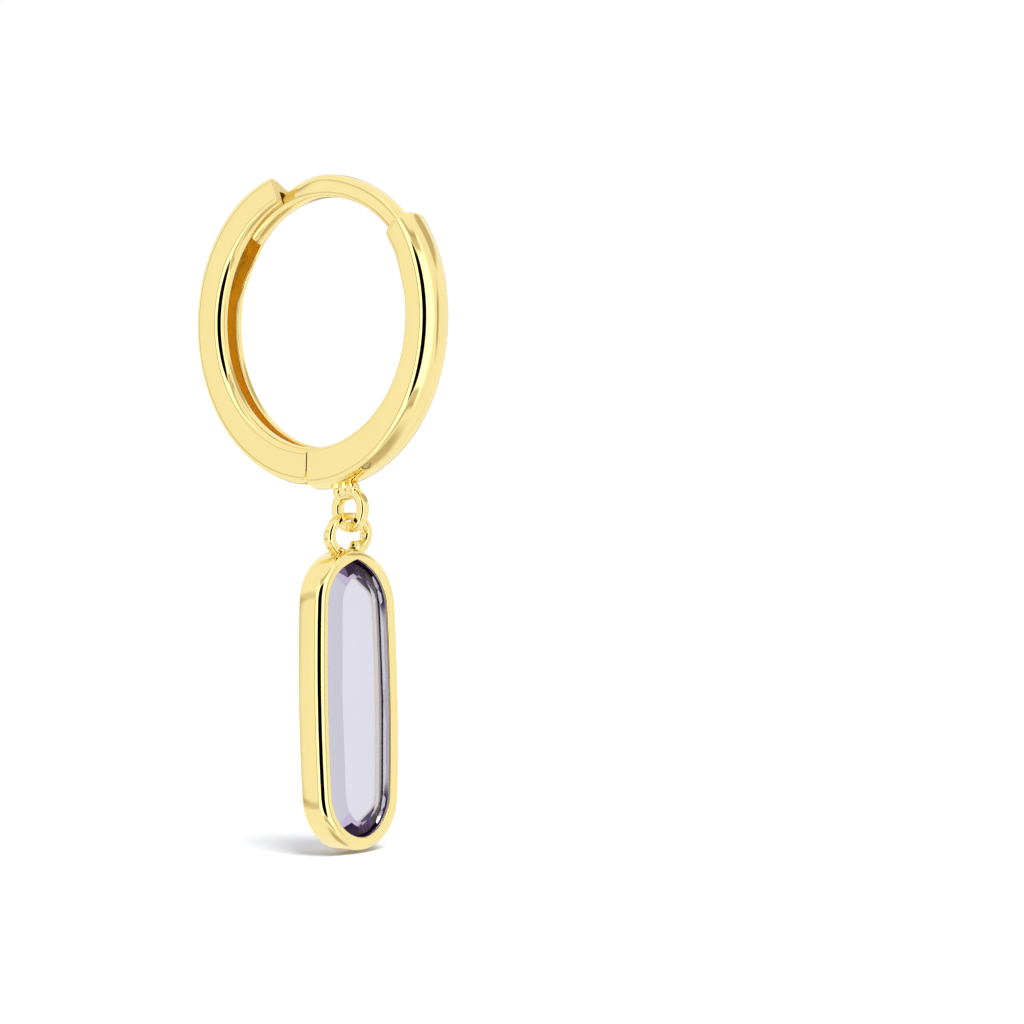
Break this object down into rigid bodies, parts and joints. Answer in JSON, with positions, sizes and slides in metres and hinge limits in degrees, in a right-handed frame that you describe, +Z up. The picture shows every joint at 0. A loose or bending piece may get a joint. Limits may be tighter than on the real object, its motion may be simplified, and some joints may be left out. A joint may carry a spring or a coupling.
{
  "type": "huggie drop earring",
  "caption": "Hinged huggie hoop with a domed polished band and an ear post that snaps shut, carrying a long step-cut stone in a bezel on a fixed loop.",
  "frame": {"origin": "middle of the ear post's wire at the top of the hoop, where the earring hangs in the ear lobe", "axes": "+Z up, +X towards the front half of the hoop and out of the stone's face, +Y along the hoop's axis"},
  "size_m": [0.014, 0.005, 0.0285],
  "materials": {
    "gold": "mirror-polished yellow gold plate",
    "stone": "clear pale lavender, step-cut and polished"
  },
  "bodies": {
    "front": {"front_half": "gold"},
    "back": {"back_half": "gold", "hinge_pin": "gold"},
    "drop": {"bezel": "gold", "stone": "stone"}
  },
  "joints": [
    {"name": "hoop_hinge", "type": "hinge", "parent": "front", "child": "back", "pos_m": [-0.00106, 0, -0.01191], "axis": [0, -1, 0], "range_deg": [0, 50]},
    {"name": "drop_swing", "type": "hinge", "parent": "front", "child": "drop", "pos_m": [0.00142, 0, -0.01406], "axis": [0, 1, 0], "range_deg": [-80, 80]}
  ]
}
